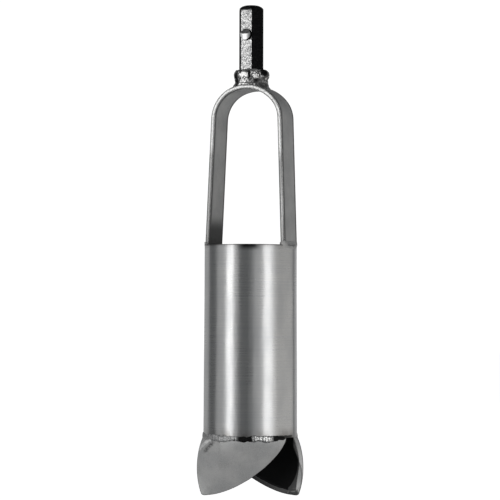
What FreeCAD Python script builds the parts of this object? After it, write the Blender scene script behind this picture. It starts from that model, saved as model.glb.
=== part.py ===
import FreeCAD, Part
import math
import os
import Sketcher

# Hand soil auger head: a stainless barrel with two curved cutters at its lower
# end, a bail bent from one flat strap over its upper rim, and a hexagonal
# quick-connect shank with a sprung lock button on top.
# Millimetres. Z runs up the auger's axis. The origin is the centre of the
# shank's upper end face, so everything else lies below it. The bail's legs
# stand at +X and -X, and the lock button looks along -Y.

V = FreeCAD.Vector
doc = FreeCAD.newDocument("soil_auger_head")

# ---------------------------------------------------------------- dimensions
sheet = doc.addObject("Spreadsheet::Sheet", "sizes")
SIZES = [
    # hexagonal shank
    ("shank_flats", 18.0), ("shank_length", 62.0), ("shank_end_radius", 4.2),
    ("shank_crown_radius", 6.6), ("shank_corner_radius", 10.1),
    # lock button, its bore, spring and cross pin
    ("button_level", 23.2), ("button_radius", 4.2), ("bore_radius", 4.25),
    ("bore_depth", 16.0), ("button_proud", 2.7), ("button_tail", 9.5),
    ("button_dome", 0.5), ("ramp_start", 0.1), ("ramp_foot", 0.7), ("button_travel", 2.8), ("mouth_chamfer", 0.35),
    ("pin_radius", 1.0), ("pin_depth", 5.4), ("pin_start", 7.4), ("pin_end", 6.2),
    ("slot_half", 1.08), ("spring_wire", 0.4), ("spring_mean", 2.9),
    ("spring_coils", 3.9),
    # bail strap
    ("strap_width", 24.0), ("strap_gauge", 3.4), ("crown_drop", 62.0),
    ("crown_radius", 33.0), ("shoulder_radius_left", 26.0), ("shoulder_radius_right", 24.0),
    ("shoulder_centre_left", 2.74), ("shoulder_centre_right", 6.9),
    ("foot_left", 33.4), ("foot_right", 33.9), ("strap_edge", 0.7),
    # barrel
    ("rim_drop", 185.8), ("barrel_drop", 332.4), ("barrel_radius", 35.55),
    ("barrel_wall", 2.0), ("flare_start", 222.0), ("flare_radius", 36.05),
    ("seam_angle", 2.3), ("seam_proud", 0.06), ("seam_depth", 0.6),
    ("seam_bearing", 21.0),
    # weld collar on the crown
    ("collar_drop", 49.6), ("collar_radius", 13.5), ("collar_skirt", 17.2),
    ("collar_half_depth", 12.5),
    # rim and seam beads
    ("foot_bead_ring", 34.5), ("foot_bead_radius", 2.4), ("foot_bead_sweep", 46.0),
    ("seam_bead_reach", 1.25), ("seam_bead_height", 0.85),
    # cutters
    ("cutter_gauge", 3.6), ("cutter_drop", 377.9), ("lead_bearing", -65.0),
    ("trail_bearing", 74.0), ("corner_bead_radius", 1.9), ("facing_gauge", 0.9),
    ("bevel_height", 4.3), ("bevel_land", 0.7), ("lead_bevel", 2.9),
]
for row, (alias, value) in enumerate(SIZES, start=1):
    sheet.set("A%d" % row, alias)
    sheet.set("B%d" % row, str(value))
    sheet.setAlias("B%d" % row, alias)
doc.recompute()


def size(alias):
    return float(sheet.get(alias))


parts = []          # objects that are written, in order


def keep(obj, label):
    obj.Label = label
    parts.append(obj)
    return obj


def bind(obj, **exprs):
    for prop, expr in exprs.items():
        obj.setExpression(prop.replace("__", "."), expr)


def new_body(name):
    return doc.addObject("PartDesign::Body", name)


def plane(body, role):
    return [f for f in body.Origin.OriginFeatures if f.Role == role][0]


def new_sketch(body, name, role):
    sk = body.newObject("Sketcher::SketchObject", name)
    sk.AttachmentSupport = [(plane(body, role), "")]
    sk.MapMode = "FlatFace"
    return sk


def line(sk, a, b):
    return sk.addGeometry(Part.LineSegment(V(a[0], a[1], 0), V(b[0], b[1], 0)), False)


def arc(sk, c, r, a0, a1):
    circle = Part.Circle(V(c[0], c[1], 0), V(0, 0, 1), r)
    return sk.addGeometry(Part.ArcOfCircle(circle, math.radians(a0), math.radians(a1)), False)


def con(sk, *args):
    return sk.addConstraint(Sketcher.Constraint(*args))


def dim(sk, expr, *args):
    i = con(sk, *args)
    sk.setExpression("Constraints[%d]" % i, expr)
    return i


def polygon(sk, pts, exprs):
    """Closed outline: every corner is placed by two driven distances."""
    ids = [line(sk, pts[i], pts[(i + 1) % len(pts)]) for i in range(len(pts))]
    for i in range(len(ids)):
        con(sk, "Coincident", ids[i], 2, ids[(i + 1) % len(ids)], 1)
    for i, (ex, ey) in enumerate(exprs):
        for axis, e, val in (("DistanceX", ex, pts[i][0]), ("DistanceY", ey, pts[i][1])):
            if e is None:       # on the axis
                con(sk, "PointOnObject", ids[i], 1, -2 if axis == "DistanceX" else -1)
            else:
                dim(sk, e, axis, -1, 1, ids[i], 1, val)
    return ids


# ------------------------------------------------------------- hexagonal shank
prism = doc.addObject("Part::Prism", "shank_bar")
prism.Polygon = 6
bind(prism, Circumradius="sizes.shank_flats / sqrt(3)", Height="sizes.shank_length",
     Placement__Base__z="-sizes.shank_length")

# turned envelope that rounds the shank's upper end
turned = new_body("shank_turning")
sk = new_sketch(turned, "turning_profile", "XZ_Plane")
r0, rc = size("shank_end_radius"), size("shank_crown_radius")
# the end face, a rounded crown of radius rc, then a short taper to the bar
phi = 60.0
x1, z1 = r0 + rc * math.sin(math.radians(phi)), -rc * (1 - math.cos(math.radians(phi)))
x2 = size("shank_corner_radius")      # also turns the bar's six corners
z2 = z1 - (x2 - x1) * math.tan(math.radians(phi))
g0 = line(sk, (0, 0), (r0, 0))
g1 = arc(sk, (r0, -rc), rc, 90 - phi, 90)
g2 = line(sk, (x1, z1), (x2, z2))
g3 = line(sk, (x2, z2), (x2, -70))
g4 = line(sk, (x2, -70), (0, -70))
g5 = line(sk, (0, -70), (0, 0))
con(sk, "Coincident", g0, 1, -1, 1)
con(sk, "Tangent", g0, 2, g1, 2)
con(sk, "Tangent", g1, 1, g2, 1)
con(sk, "Coincident", g2, 2, g3, 1)
con(sk, "Coincident", g3, 2, g4, 1)
con(sk, "Coincident", g4, 2, g5, 1)
con(sk, "Coincident", g5, 2, g0, 1)
con(sk, "Vertical", g3)
con(sk, "Horizontal", g4)
con(sk, "Vertical", g5)
con(sk, "Horizontal", g0)
dim(sk, "sizes.shank_end_radius", "DistanceX", g0, 1, g0, 2, r0)
dim(sk, "sizes.shank_crown_radius", "Radius", g1, rc)
dim(sk, "sizes.shank_corner_radius", "DistanceX", g4, 2, g4, 1, x2)
con(sk, "DistanceY", g4, 2, -1, 1, 70.0)
con(sk, "DistanceY", g2, 2, -1, 1, -z2)
rev = turned.newObject("PartDesign::Revolution", "turning")
rev.Profile = sk
rev.ReferenceAxis = (sk, ["V_Axis"])
rev.Angle = 360
doc.recompute()

shank_blank = doc.addObject("Part::Common", "shank_blank")
shank_blank.Base, shank_blank.Tool = prism, turned

bore = doc.addObject("Part::Cylinder", "button_bore")
bind(bore, Radius="sizes.bore_radius", Height="sizes.bore_depth + 5",
     Placement__Base__y="-sizes.shank_flats / 2 - 5",
     Placement__Base__z="-sizes.button_level")
bore.Placement = FreeCAD.Placement(V(0, -14, -23.2), FreeCAD.Rotation(V(1, 0, 0), -90))
mouth = doc.addObject("Part::Cone", "bore_mouth")
mouth.Placement = FreeCAD.Placement(V(0, -10, -23.2), FreeCAD.Rotation(V(1, 0, 0), -90))
bind(mouth, Radius1="sizes.bore_radius + sizes.mouth_chamfer + 1",
     Radius2="sizes.bore_radius", Height="sizes.mouth_chamfer + 1",
     Placement__Base__y="-sizes.shank_flats / 2 - 1",
     Placement__Base__z="-sizes.button_level")
pin_hole = doc.addObject("Part::Cylinder", "pin_hole")
pin_hole.Placement = FreeCAD.Placement(V(-12, -3.5, -23.2), FreeCAD.Rotation(V(0, 1, 0), 90))
bind(pin_hole, Radius="sizes.pin_radius", Height="12 + sizes.pin_end",
     Placement__Base__y="-sizes.shank_flats / 2 + sizes.pin_depth",
     Placement__Base__z="-sizes.button_level")
bores = doc.addObject("Part::MultiFuse", "shank_bores")
bores.Shapes = [bore, mouth, pin_hole]
hex_shank = doc.addObject("Part::Cut", "hex_shank_cut")
hex_shank.Base, hex_shank.Tool = shank_blank, bores
keep(hex_shank, "hex_shank")

# ---------------------------------------------------------------- lock button
# Turned along its own Z, dome upwards, with the flat of the shank at Z = 0, then
# laid down so that the dome looks along -Y. A slot across it takes the pin.
button = new_body("button_body")
sk = new_sketch(button, "button_profile", "XZ_Plane")
rb, dome = size("button_radius"), size("button_dome")
top, tail = size("button_proud"), size("button_tail")
rs = (rb * rb + dome * dome) / (2 * dome)
half = math.degrees(math.asin(rb / rs))
h0 = line(sk, (0, -tail), (rb, -tail))
h1 = line(sk, (rb, -tail), (rb, top - dome))
h2 = arc(sk, (0, top - rs), rs, 90 - half, 90)
h3 = line(sk, (0, top), (0, -tail))
con(sk, "Coincident", h0, 2, h1, 1)
con(sk, "Coincident", h1, 2, h2, 1)
con(sk, "Coincident", h2, 2, h3, 1)
con(sk, "Coincident", h3, 2, h0, 1)
con(sk, "Horizontal", h0)
con(sk, "Vertical", h1)
con(sk, "PointOnObject", h0, 1, -2)
con(sk, "PointOnObject", h2, 2, -2)
con(sk, "PointOnObject", h2, 3, -2)
dim(sk, "sizes.button_radius", "DistanceX", h0, 1, h0, 2, rb)
dim(sk, "-sizes.button_tail", "DistanceY", -1, 1, h0, 1, -tail)
dim(sk, "sizes.button_proud", "DistanceY", -1, 1, h2, 2, top)
dim(sk, "sizes.button_proud - sizes.button_dome", "DistanceY", -1, 1, h1, 2, top - dome)
rev = button.newObject("PartDesign::Revolution", "button_turning")
rev.Profile = sk
rev.ReferenceAxis = (sk, ["V_Axis"])
rev.Angle = 360
doc.recompute()
sk = new_sketch(button, "slot_profile", "YZ_Plane")
sh, pd, pr, tr = size("slot_half"), size("pin_depth"), size("pin_radius"), size("button_travel")
lo, hi = -pd - pr - 0.03, -pd + pr + tr + 0.06
polygon(sk, [(-sh, lo), (sh, lo), (sh, hi), (-sh, hi)],
        [("-sizes.slot_half", "-sizes.pin_depth - sizes.pin_radius - 0.03"),
         ("sizes.slot_half", "-sizes.pin_depth - sizes.pin_radius - 0.03"),
         ("sizes.slot_half", "-sizes.pin_depth + sizes.pin_radius + sizes.button_travel + 0.06"),
         ("-sizes.slot_half", "-sizes.pin_depth + sizes.pin_radius + sizes.button_travel + 0.06")])
before = button.Shape.Volume
slot = button.newObject("PartDesign::Pocket", "pin_slot")
slot.Profile = sk
slot.Type = "ThroughAll"
slot.Midplane = True
doc.recompute()
if button.Shape.Volume > before - 50:
    raise SystemExit("the button's slot cut nothing")
# the upper half of the face is a ramp, so that a socket pushes the button in
sk = new_sketch(button, "ramp_profile", "YZ_Plane")
r1, r2 = size("ramp_start"), size("ramp_foot")
polygon(sk, [(r1, top + 0.02), (rb + 0.6, r2), (rb + 0.6, top + 1), (r1, top + 1)],
        [("sizes.ramp_start", "sizes.button_proud + 0.02"),
         ("sizes.button_radius + 0.6", "sizes.ramp_foot"),
         ("sizes.button_radius + 0.6", "sizes.button_proud + 1"),
         ("sizes.ramp_start", "sizes.button_proud + 1")])
before = button.Shape.Volume
ramp = button.newObject("PartDesign::Pocket", "face_ramp")
ramp.Profile = sk
ramp.Type = "ThroughAll"
ramp.Midplane = True
doc.recompute()
if button.Shape.Volume > before - 6:
    raise SystemExit("the button's ramp cut nothing")
button.Placement = FreeCAD.Placement(V(0, -9.0, -23.2), FreeCAD.Rotation(V(1, 0, 0), 90))
bind(button, Placement__Base__y="-sizes.shank_flats / 2",
     Placement__Base__z="-sizes.button_level")
keep(button, "lock_button")

# ------------------------------------------------------- spring and cross pin
pin = doc.addObject("Part::Cylinder", "cross_pin")
pin.Placement = FreeCAD.Placement(V(-7.4, -3.5, -23.2), FreeCAD.Rotation(V(0, 1, 0), 90))
bind(pin, Radius="sizes.pin_radius", Height="sizes.pin_start + sizes.pin_end",
     Placement__Base__x="-sizes.pin_start",
     Placement__Base__y="-sizes.shank_flats / 2 + sizes.pin_depth",
     Placement__Base__z="-sizes.button_level")
keep(pin, "button_pin")

# The coil is lofted through octagonal sections of the wire, twelve to the turn.
sw, sm, turns = size("spring_wire"), size("spring_mean"), size("spring_coils")
rise = size("bore_depth") - size("button_tail") - 2 * sw - 0.04
steps = int(round(turns * 12))
rings = []
for i in range(steps + 1):
    t = 2 * math.pi * turns * i / steps
    out = V(math.cos(t), math.sin(t), 0)
    mid = out * sm + V(0, 0, rise * i / steps)
    rings.append(Part.makePolygon(
        [mid + out * (sw * math.cos(a)) + V(0, 0, sw * math.sin(a))
         for a in [math.radians(22.5 + 45 * k) for k in range(8)] + [math.radians(22.5)]]))
spring = doc.addObject("Part::Feature", "spring_coil")
spring.Shape = Part.makeLoft(rings, True, True)
spring.Placement = FreeCAD.Placement(
    V(0, -size("shank_flats") / 2 + size("button_tail") + sw + 0.02, -size("button_level")),
    FreeCAD.Rotation(V(1, 0, 0), -90))
keep(spring, "button_spring")

# -------------------------------------------------------------------- bail
# Side view of the bent strap: crown arc, two shoulder arcs and two legs that
# spread downwards, drawn once for the outside and once for the inside.
bail = new_body("bail_body")
sk = new_sketch(bail, "bail_profile", "XZ_Plane")
T, RC = size("strap_gauge"), size("crown_radius")
ZC, ZF = -size("crown_drop"), -size("rim_drop")


def flank(side):
    """Shoulder centre, radius, crown angle, leg lean and foot of one side."""
    rs, cx, xf = size("shoulder_radius_" + side), size("shoulder_centre_" + side), size("foot_" + side)
    alpha = math.asin(cx / (RC - rs))
    cz = ZC - RC + (RC - rs) * math.cos(alpha)
    dx, dz = xf - cx, ZF - cz
    lean = math.atan2(dx, -dz) - math.asin(rs / math.hypot(dx, dz))
    return cx, cz, rs, alpha, lean, xf


R_, L_ = flank("right"), flank("left")
out_ids, in_ids = [], []
for ids, off in ((out_ids, 0.0), (in_ids, T)):
    crown = arc(sk, (0, ZC - RC), RC - off, 90 - math.degrees(R_[3]), 90 + math.degrees(L_[3]))
    right = arc(sk, (R_[0], R_[1]), R_[2] - off, math.degrees(R_[4]), 90 - math.degrees(R_[3]))
    left = arc(sk, (-L_[0], L_[1]), L_[2] - off, 90 + math.degrees(L_[3]), 180 - math.degrees(L_[4]))
    legs = []
    for (cx, cz, rs, alpha, lean, xf), sign in ((R_, 1), (L_, -1)):
        px, pz = cx + (rs - off) * math.cos(lean), cz + (rs - off) * math.sin(lean)
        legs.append(line(sk, (sign * px, pz), (sign * (xf - off / math.cos(lean)), ZF)))
    leg_r, leg_l = legs
    con(sk, "Tangent", crown, 1, right, 2)
    con(sk, "Tangent", crown, 2, left, 1)
    con(sk, "Tangent", right, 1, leg_r, 1)
    con(sk, "Tangent", left, 2, leg_l, 1)
    ids += [crown, right, left, leg_r, leg_l]
(oc, orr, ol, olr, oll), (ic, ir, il, ilr, ill) = out_ids, in_ids
con(sk, "PointOnObject", oc, 3, -2)
dim(sk, "sizes.crown_radius", "Radius", oc, RC)
dim(sk, "-sizes.crown_drop - sizes.crown_radius", "DistanceY", -1, 1, oc, 3, ZC - RC)
dim(sk, "sizes.shoulder_radius_right", "Radius", orr, R_[2])
dim(sk, "sizes.shoulder_radius_left", "Radius", ol, L_[2])
dim(sk, "sizes.shoulder_centre_right", "DistanceX", -1, 1, orr, 3, R_[0])
dim(sk, "-sizes.shoulder_centre_left", "DistanceX", -1, 1, ol, 3, -L_[0])
dim(sk, "sizes.foot_right", "DistanceX", -1, 1, olr, 2, R_[5])
dim(sk, "-sizes.foot_left", "DistanceX", -1, 1, oll, 2, -L_[5])
dim(sk, "-sizes.rim_drop", "DistanceY", -1, 1, olr, 2, ZF)
dim(sk, "-sizes.rim_drop", "DistanceY", -1, 1, oll, 2, ZF)
con(sk, "Coincident", oc, 3, ic, 3)
con(sk, "Coincident", orr, 3, ir, 3)
con(sk, "Coincident", ol, 3, il, 3)
dim(sk, "sizes.crown_radius - sizes.strap_gauge", "Radius", ic, RC - T)
con(sk, "Parallel", olr, ilr)
con(sk, "Parallel", oll, ill)
foot_r = line(sk, (R_[5], ZF), (R_[5] - T / math.cos(R_[4]), ZF))
foot_l = line(sk, (-L_[5], ZF), (-L_[5] + T / math.cos(L_[4]), ZF))
con(sk, "Coincident", foot_r, 1, olr, 2)
con(sk, "Coincident", foot_r, 2, ilr, 2)
con(sk, "Horizontal", foot_r)
con(sk, "Coincident", foot_l, 1, oll, 2)
con(sk, "Coincident", foot_l, 2, ill, 2)
con(sk, "Horizontal", foot_l)
pad = bail.newObject("PartDesign::Pad", "strap")
pad.Profile = sk
pad.Midplane = True
bind(pad, Length="sizes.strap_width")
doc.recompute()
# long edges of the strap, eased all the way round both faces
w2 = size("strap_width") / 2
edges = []
for i, e in enumerate(pad.Shape.Edges, start=1):
    bb = e.BoundBox
    if bb.YLength < 1e-6 and abs(abs(bb.YMin) - w2) < 1e-6 and bb.ZMax > ZF + 1e-3:
        edges.append("Edge%d" % i)
ease = bail.newObject("PartDesign::Fillet", "strap_easing")
ease.Base = (pad, edges)
bind(ease, Radius="sizes.strap_edge")
doc.recompute()
keep(bail, "bail_strap")

# ------------------------------------------------------------------- barrel
barrel = new_body("barrel_body")
sk = new_sketch(barrel, "barrel_profile", "XZ_Plane")
R0, R2, W = size("barrel_radius"), size("flare_radius"), size("barrel_wall")
Z0, Z1, Z2 = -size("rim_drop"), -size("flare_start"), -size("barrel_drop")
polygon(sk, [(R0, Z0), (R0, Z1), (R2, Z2), (R2 - W, Z2), (R0 - W, Z1), (R0 - W, Z0)],
        [("sizes.barrel_radius", "-sizes.rim_drop"),
         ("sizes.barrel_radius", "-sizes.flare_start"),
         ("sizes.flare_radius", "-sizes.barrel_drop"),
         ("sizes.flare_radius - sizes.barrel_wall", "-sizes.barrel_drop"),
         ("sizes.barrel_radius - sizes.barrel_wall", "-sizes.flare_start"),
         ("sizes.barrel_radius - sizes.barrel_wall", "-sizes.rim_drop")])
rev = barrel.newObject("PartDesign::Revolution", "tube")
rev.Profile = sk
rev.ReferenceAxis = (sk, ["V_Axis"])
rev.Angle = 360
doc.recompute()

# longitudinal weld of the rolled tube: a narrow strip let into its outside
seam = new_body("seam_body")
sk = new_sketch(seam, "seam_profile", "XZ_Plane")
P, D = size("seam_proud"), size("seam_depth")
polygon(sk, [(R0 + P, Z0), (R0 + P, Z1), (R2 + P, Z2), (R2 - D, Z2), (R0 - D, Z1), (R0 - D, Z0)],
        [("sizes.barrel_radius + sizes.seam_proud", "-sizes.rim_drop"),
         ("sizes.barrel_radius + sizes.seam_proud", "-sizes.flare_start"),
         ("sizes.flare_radius + sizes.seam_proud", "-sizes.barrel_drop"),
         ("sizes.flare_radius - sizes.seam_depth", "-sizes.barrel_drop"),
         ("sizes.barrel_radius - sizes.seam_depth", "-sizes.flare_start"),
         ("sizes.barrel_radius - sizes.seam_depth", "-sizes.rim_drop")])
rev = seam.newObject("PartDesign::Revolution", "seam_strip")
rev.Profile = sk
rev.ReferenceAxis = (sk, ["V_Axis"])
bind(rev, Angle="sizes.seam_angle")
doc.recompute()
seam.Placement = FreeCAD.Placement(V(0, 0, 0), FreeCAD.Rotation(V(0, 0, 1), -70))
bind(seam, Placement__Rotation__Angle="90 - sizes.seam_bearing + sizes.seam_angle / 2")
seam.Placement = FreeCAD.Placement(V(0, 0, 0), FreeCAD.Rotation(V(0, 0, -1), 70))
doc.recompute()

barrel_tube = doc.addObject("Part::Cut", "barrel_cut")
barrel_tube.Base, barrel_tube.Tool = barrel, seam
keep(barrel_tube, "barrel_tube")
keep(seam, "barrel_seam")

# ------------------------------------------------------------- weld collar
collar = new_body("collar_body")
sk = new_sketch(collar, "collar_profile", "XZ_Plane")
CT, CR, CS = -size("collar_drop"), size("collar_radius"), size("collar_skirt")
polygon(sk, [(0, CT), (CR - 3.0, CT), (CR, CT - 2.6), (CR, CT - 9.6), (CR + 0.7, CT - 12.6),
             (CS, CT - 16.6), (0, CT - 14.4)],
        [(None, "-sizes.collar_drop"),
         ("sizes.collar_radius - 3", "-sizes.collar_drop"),
         ("sizes.collar_radius", "-sizes.collar_drop - 2.6"),
         ("sizes.collar_radius", "-sizes.collar_drop - 9.6"),
         ("sizes.collar_radius + 0.7", "-sizes.collar_drop - 12.6"),
         ("sizes.collar_skirt", "-sizes.collar_drop - 16.6"),
         (None, "-sizes.collar_drop - 14.4")])
rev = collar.newObject("PartDesign::Revolution", "collar")
rev.Profile = sk
rev.ReferenceAxis = (sk, ["V_Axis"])
rev.Angle = 360
doc.recompute()
slab = doc.addObject("Part::Box", "collar_slab")
bind(slab, Length="60", Width="2 * sizes.collar_half_depth", Height="30",
     Placement__Base__x="-30", Placement__Base__y="-sizes.collar_half_depth",
     Placement__Base__z="-sizes.collar_drop - 25")
collar_blank = doc.addObject("Part::Common", "collar_blank")
collar_blank.Base, collar_blank.Tool = collar, slab
collar_less_shank = doc.addObject("Part::Cut", "collar_less_shank")
collar_less_shank.Base, collar_less_shank.Tool = collar_blank, hex_shank
shank_weld = doc.addObject("Part::Cut", "shank_weld_cut")
shank_weld.Base, shank_weld.Tool = collar_less_shank, bail
keep(shank_weld, "shank_weld")

# ----------------------------------------------- beads at the strap's feet
for name, turn in (("right", 0), ("left", 180)):
    ring = doc.addObject("Part::Torus", "foot_ring_" + name)
    bind(ring, Radius1="sizes.foot_bead_ring", Radius2="sizes.foot_bead_radius",
         Angle3="sizes.foot_bead_sweep",
         Placement__Base__z="-sizes.rim_drop - 0.5")
    ring.Placement = FreeCAD.Placement(V(0, 0, -186.3),
                                       FreeCAD.Rotation(V(0, 0, 1), turn - size("foot_bead_sweep") / 2))
    bead_a = doc.addObject("Part::Cut", "foot_bead_a_" + name)
    bead_a.Base, bead_a.Tool = ring, barrel
    bead = doc.addObject("Part::Cut", "foot_bead_" + name)
    bead.Base, bead.Tool = bead_a, bail
    keep(bead, "bail_weld_" + name)
doc.recompute()

# ------------------------------------------------------------------- cutters
# A cutter hangs from the barrel's lower edge between two bearings (degrees
# round the axis from -Y towards +X). Its free lower edge runs in one upright
# plane, from the tip under the leading edge to the trailing end at the rim, and
# the plate bulges outwards below the rim before it curls in towards that edge.
LEAD, TRAIL = size("lead_bearing"), size("trail_bearing")
TOPZ, TIPZ, GAUGE = -size("barrel_drop"), -size("cutter_drop"), size("cutter_gauge")
TURN = 25.0        # bearing of the frame in which the edge below is tabulated
EDGE = [(-37.6, -377.9), (-34.7, -377.9), (-30.0, -377.4), (-25.4, -376.5), (-20.7, -375.1),
        (-16.1, -373.3), (-11.5, -371.2), (-6.8, -368.7), (-3.8, -366.9), (-0.7, -365.0),
        (8.5, -357.8), (13.0, -353.6), (17.9, -348.2), (21.4, -343.8), (24.4, -339.4), (26.6, -335.2)]
XA, XB = EDGE[0][0], EDGE[-1][0]


def edge_height(x):
    if x <= XA + 2.0:       # the tip's corner is eased
        return EDGE[0][1] + 0.95 * ((XA + 2.0 - max(x, XA - 1.0)) / 2.0) ** 2
    for (xa, za), (xb, zb) in zip(EDGE, EDGE[1:]):
        if x <= xb:
            return za + (zb - za) * (x - xa) / (xb - xa)
    return EDGE[-1][1]


def smooth(x):
    x = min(1.0, max(0.0, x))
    return x * x * (3 - 2 * x)


def rail(u):
    """The four control points of the plate's outside across the plate at u."""
    a = math.radians(LEAD - TURN + (TRAIL - LEAD) * u)
    out = V(math.sin(a), -math.cos(a), 0)
    A = out * R2 + V(0, 0, TOPZ)
    x = XA + (XB - XA) * u
    D_ = V(x, 0.6 - 0.2985 * (x + 37.6), edge_height(x))
    # the edge runs out into the rim at the trailing end
    k = smooth((u - 0.55) / 0.45)
    e = math.radians(TRAIL - TURN)
    D_ = D_ + V(math.sin(e) * (R2 - 0.2) - XB, -math.cos(e) * (R2 - 0.2) - (0.6 - 0.2985 * (XB + 37.6)), 0) * k
    H = A.z - D_.z
    flat = V(A.x - D_.x, A.y - D_.y, 0)
    L = flat.Length
    w = smooth(u / 0.4)
    toward = out * (1 - w) + (flat.normalize() * w if L > 1e-6 else V(0, 0, 0))
    toward.normalize()
    lead = math.exp(-(u / 0.16) ** 2)
    flare = 0.16 * (1 - smooth(u)) + 0.33 * lead
    B = A + out * (flare * 0.27 * H) + V(0, 0, -0.27 * H)
    C = D_ + toward * (0.5 * L * (1 - 0.5 * lead) + 4.7 * lead) + V(0, 0, H * (0.19 + 0.12 * lead))
    return A, B, C, D_


def outside(u, v):
    A, B, C, D_ = rail(u)
    q = 1 - v
    return A * (q * q * q) + B * (3 * q * q * v) + C * (3 * q * v * v) + D_ * (v * v * v)


def normal(u, v):
    du = outside(min(1, u + 0.004), v) - outside(max(0, u - 0.004), v)
    dv = outside(u, min(1, v + 0.004)) - outside(u, max(0, v - 0.004))
    n = du.cross(dv)
    n.normalize()
    return n


def inward(u, v):
    """Unit vector from the outside of the plate to its inside."""
    a = math.radians(LEAD - TURN + (TRAIL - LEAD) * u)
    out = V(math.sin(a), -math.cos(a), 0)
    n = normal(u, v)
    if n.dot(out) > 0:
        n = n * -1
    # at the rim the plate's end is square with the barrel's
    k = 1 - smooth(v / 0.22)
    k = max(k, smooth((u - 0.85) / 0.15))
    m = n * (1 - k) + out * -k
    m.normalize()
    return m


def grid_surface(fn, us, vs):
    surf = Part.BSplineSurface()
    surf.interpolate([[fn(u, v) for v in vs] for u in us])
    return surf


def plate(fa, fb, us, vs):
    """Closed solid between two grids that share their corners' order."""
    sa, sb = grid_surface(fa, us, vs), grid_surface(fb, us, vs)
    faces = [sa.toShape(), sb.toShape()]
    for k in range(4):
        iso = []
        for surf in (sa, sb):
            u0, u1, v0, v1 = surf.bounds()
            c = (surf.uIso(u0), surf.uIso(u1), surf.vIso(v0), surf.vIso(v1))[k]
            iso.append(c.toShape())
        faces.append(Part.makeRuledSurface(iso[0], iso[1]))
    comp = Part.makeCompound(faces)
    comp.sewShape(1e-3)
    shell = comp.Shells[0] if comp.Shells else Part.makeShell(comp.Faces)
    solid = Part.makeSolid(shell)
    if solid.Volume < 0:
        solid.reverse()
    fixed = solid.copy()
    fixed.fix(1e-4, 1e-4, 1e-3)
    return fixed if fixed.isValid() and not solid.isValid() else solid


us = [0, 0.012, 0.03, 0.07, 0.12, 0.18, 0.25, 0.33, 0.41, 0.5, 0.58, 0.66, 0.74, 0.81, 0.87, 0.93, 1.0]
vs = [i / 10.0 for i in range(11)]
cutter = plate(outside, lambda u, v: outside(u, v) + inward(u, v) * GAUGE, us, vs)

# The cutting edges are ground from the inside: one bevel along the free lower
# edge and one up the leading edge, which fades out below the rim.
BH, LAND, LB = size("bevel_height"), size("bevel_land"), size("lead_bevel")


def inside(u, v):
    return outside(u, v) + inward(u, v) * GAUGE


def lower_bevel(u):
    """Ends of the bevel line across the plate, and the way out of the metal."""
    tall = (outside(u, 0.5) - outside(u, 1)).Length * 2
    v1 = 1 - min(0.45, BH / tall)
    n = inward(u, 1)
    fade = smooth((u - 0.72) / 0.16) * (GAUGE + 0.8 - LAND)
    top_, low = inside(u, v1) + n * fade, outside(u, 1) + n * (LAND + fade)
    way = low - top_
    way.normalize()
    return top_ - way * 1.2, low + way * 2.5, n


def lead_bevel(v):
    wide = (outside(0.06, v) - outside(0, v)).Length / 0.06
    n = inward(0, v)
    grow = smooth((v - 0.25) / 0.5)
    fade = (1 - grow) * (GAUGE + 0.8 - LAND)
    far, near = inside(LB / wide, v) + n * fade, outside(0, v) + n * (LAND + 0.5 + fade)
    way = near - far
    way.normalize()
    return far - way * 1.2, near + way * 2.5, n


def wedge(fn, stations, ws=(0.0, 0.5, 1.0), deep=7.0):
    ends = dict((t, fn(t)) for t in stations)
    fa = lambda t, w: ends[t][0] + (ends[t][1] - ends[t][0]) * w
    fb = lambda t, w: fa(t, w) + ends[t][2] * deep
    return plate(fa, fb, list(stations), list(ws))


low_wedge = wedge(lower_bevel, [-0.05, -0.02, 0.0, 0.04, 0.09, 0.15, 0.22, 0.3, 0.38, 0.46, 0.54, 0.62, 0.7, 0.76, 0.82, 0.88, 0.92])
lead_wedge = wedge(lead_bevel, [0.2, 0.28, 0.36, 0.44, 0.52, 0.6, 0.68, 0.76, 0.84, 0.92, 1.0])
whole = cutter.Volume
cutter = cutter.cut(low_wedge)
cutter = max(cutter.Solids, key=lambda b: b.Volume)
once = cutter.Volume
cutter = cutter.cut(lead_wedge)
cutter = max(cutter.Solids, key=lambda b: b.Volume)
print("cutter volume %.0f, after the lower bevel %.0f, after the leading bevel %.0f" % (whole, once, cutter.Volume))
if once > whole - 150 or cutter.Volume > once - 20:
    raise SystemExit("a bevel cut nothing")

cutters = {}
for name, turn in (("front", 0), ("rear", 180)):
    f = doc.addObject("Part::Feature", "cutter_shape_" + name)
    f.Shape = cutter
    f.Placement = FreeCAD.Placement(V(0, 0, 0), FreeCAD.Rotation(V(0, 0, 1), TURN + turn))
    cutters[name] = f
    keep(f, "cutter_" + name)
doc.recompute()

# hard deposit in the corner where the two bevels meet: a three-sided pad that
# thins towards the heel of the edge
def pad(extra):
    def at(u, w):
        a_, b_, n = lower_bevel(u)
        way = b_ - a_
        length = way.Length
        way.normalize()
        t0 = 1.2 + (u - 0.012) / 0.128 * 3.0
        t1 = length - 2.5 - 0.15
        return a_ + way * (t0 + (t1 - t0) * w) + n * extra(u, w)
    return at


us2 = [0.012, 0.03, 0.05, 0.075, 0.1, 0.12, 0.14]
ws2 = [0.0, 0.25, 0.5, 0.75, 1.0]
FG = size("facing_gauge")
facing = plate(pad(lambda u, w: -0.25),
               pad(lambda u, w: FG * (1 - 0.55 * (u - 0.012) / 0.128) * (0.45 + 0.55 * math.sin(math.pi * min(1, w + 0.1)))),
               us2, ws2)
facing = facing.cut(cutter)
facing = max(facing.Solids, key=lambda b: b.Volume)

# Bead over the butt between barrel and cutter. It bites a tenth of a millimetre
# into both of them.
SR, SB = size("seam_bead_reach"), size("seam_bead_height")


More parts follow.
